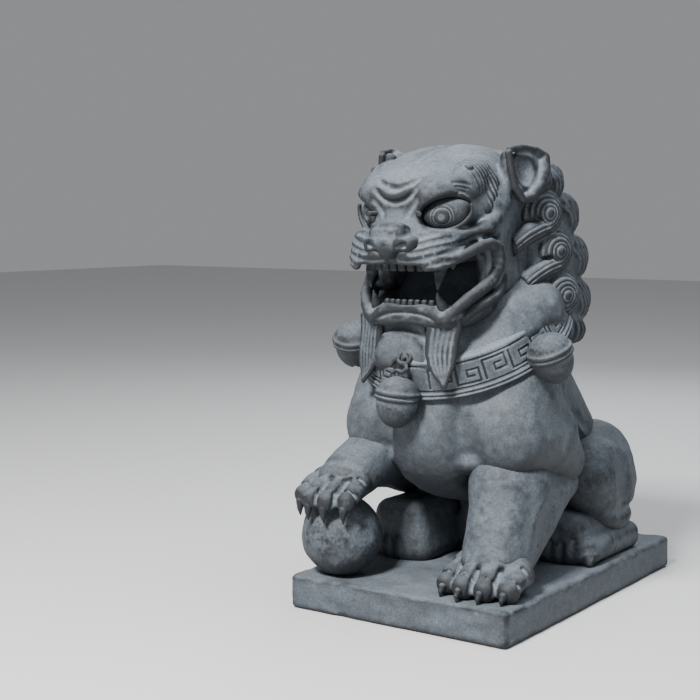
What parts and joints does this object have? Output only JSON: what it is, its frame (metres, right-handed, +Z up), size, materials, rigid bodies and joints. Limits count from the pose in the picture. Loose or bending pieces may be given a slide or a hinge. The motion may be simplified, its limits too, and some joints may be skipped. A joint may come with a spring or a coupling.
{
  "type": "guardian lion statue",
  "caption": "Seated guardian lion in dark carved stone on a rectangular plinth, mouth open, right forepaw on a ball, with a belled collar and curled mane.",
  "frame": {"origin": "centre of the plinth's underside, on the ground", "axes": "+Z up; -Y the way the lion faces; +X to the lion's own left"},
  "size_m": [0.5998, 0.8761, 1.0088],
  "materials": {
    "carved_stone": "matte",
    "plinth_stone": "matte"
  },
  "bodies": {
    "root": {"plinth": "plinth_stone", "torso": "carved_stone", "tail": "carved_stone", "left_shoulder": "carved_stone", "right_shoulder": "carved_stone", "left_foreleg": "carved_stone", "right_foreleg": "carved_stone", "left_forepaw": "carved_stone", "right_forepaw": "carved_stone", "left_claws": "carved_stone", "right_claws": "carved_stone", "ball": "carved_stone", "left_haunch": "carved_stone", "right_haunch": "carved_stone", "left_hind_paw": "carved_stone", "right_hind_paw": "carved_stone", "head": "carved_stone", "nose": "carved_stone", "lower_jaw": "carved_stone", "upper_teeth": "carved_stone", "lower_teeth": "carved_stone", "left_eye": "carved_stone", "right_eye": "carved_stone", "left_brow": "carved_stone", "right_brow": "carved_stone", "left_ear": "carved_stone", "right_ear": "carved_stone", "left_beard": "carved_stone", "right_beard": "carved_stone", "mane": "carved_stone", "left_mane_curls": "carved_stone", "right_mane_curls": "carved_stone", "back_mane_curls": "carved_stone", "collar": "carved_stone", "collar_knot": "carved_stone", "chest_bell": "carved_stone", "left_bell": "carved_stone", "right_bell": "carved_stone"}
  },
  "joints": []
}
